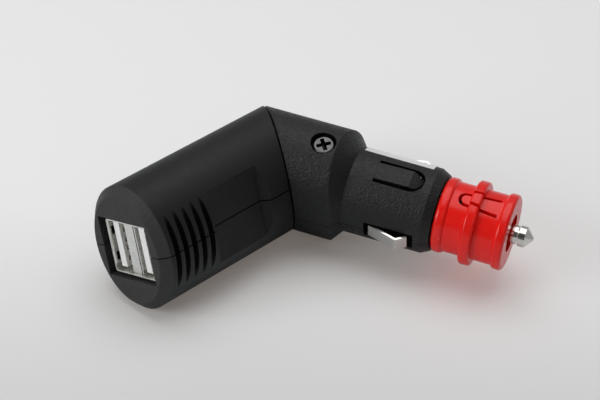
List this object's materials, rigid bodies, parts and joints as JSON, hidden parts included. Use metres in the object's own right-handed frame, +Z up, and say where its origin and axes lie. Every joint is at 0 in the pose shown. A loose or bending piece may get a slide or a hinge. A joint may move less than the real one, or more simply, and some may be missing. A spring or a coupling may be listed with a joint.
{
  "type": "usb car charger",
  "caption": "Car charger with side-by-side USB sockets in a mitred head that swivels on a lighter plug with a pull-off red adapter sleeve.",
  "frame": {"origin": "on the plug's axis at the end of its shoulder, where the rim of a lighter socket stops", "axes": "+X along the plug towards its tip, +Z up from the surface that the charger lies on"},
  "size_m": [0.0934, 0.0625, 0.0301],
  "materials": {
    "head_plastic": "satin black moulding",
    "plug_plastic": "fine spark-eroded black moulding",
    "red_plastic": "satin gloss red moulding",
    "plated_brass": "bright nickel plate",
    "screw_steel": "dark passivated steel",
    "spring_steel": "bright drawn wire",
    "tinned_steel": "tin plate, satin",
    "white_plastic": "satin white moulding",
    "contact_gold": "thin gold flash",
    "label_film": "white film, satin",
    "board_laminate": "green solder mask",
    "ferrite": "sintered ferrite",
    "capacitor_can": "drawn can",
    "chip_epoxy": "moulded epoxy"
  },
  "bodies": {
    "plug": {"plug_upper_shell": "plug_plastic", "plug_lower_shell": "plug_plastic", "housing_screw": "screw_steel", "blank_label": "label_film", "pin_terminal": "plated_brass", "pin_spring": "spring_steel", "ground_bridge": "plated_brass"},
    "head": {"head_upper_shell": "head_plastic", "head_lower_shell": "head_plastic", "usb_shell": "tinned_steel", "usb_divider": "tinned_steel", "usb_tongue_1": "white_plastic", "usb_tongue_2": "white_plastic", "usb_contacts_1": "contact_gold", "usb_contacts_2": "contact_gold", "usb_board": "board_laminate", "converter_board": "board_laminate", "choke": "ferrite", "input_capacitor": "capacitor_can", "output_capacitor": "capacitor_can", "regulator_chip": "chip_epoxy"},
    "centre_pin": {"contact_pin": "plated_brass"},
    "left_spring": {"ground_contact_left": "plated_brass"},
    "right_spring": {"ground_contact_right": "plated_brass"},
    "sleeve": {"adapter_sleeve": "red_plastic", "sleeve_end_ring": "red_plastic"}
  },
  "joints": [
    {"name": "head_swivel", "type": "hinge", "parent": "plug", "child": "head", "pos_m": [-0.0193, 0, 0], "axis": [0.8161, 0.546, 0.1891], "range_deg": [-147.8, 32.2]},
    {"name": "pin_press", "type": "slide", "parent": "plug", "child": "centre_pin", "axis": [1, 0, 0], "range_m": [-0.0033, 0], "stiffness_N_per_m": 500, "springref_m": 0.004, "deforming": ["pin_spring"]},
    {"name": "left_spring_press", "type": "hinge", "parent": "plug", "child": "left_spring", "pos_m": [0.0068, 0.0085, 0.00295], "axis": [0, -0.3272, 0.9449], "range_deg": [-15, 0], "stiffness_Nm_per_rad": 0.12, "springref_deg": 3.44},
    {"name": "right_spring_press", "type": "hinge", "parent": "plug", "child": "right_spring", "pos_m": [0.0068, -0.0085, -0.00295], "axis": [0, -0.3272, 0.9449], "range_deg": [0, 15], "stiffness_Nm_per_rad": 0.12, "springref_deg": -3.44},
    {"name": "sleeve_pull", "type": "slide", "parent": "plug", "child": "sleeve", "axis": [1, 0, 0], "range_m": [0, 0.03]}
  ]
}
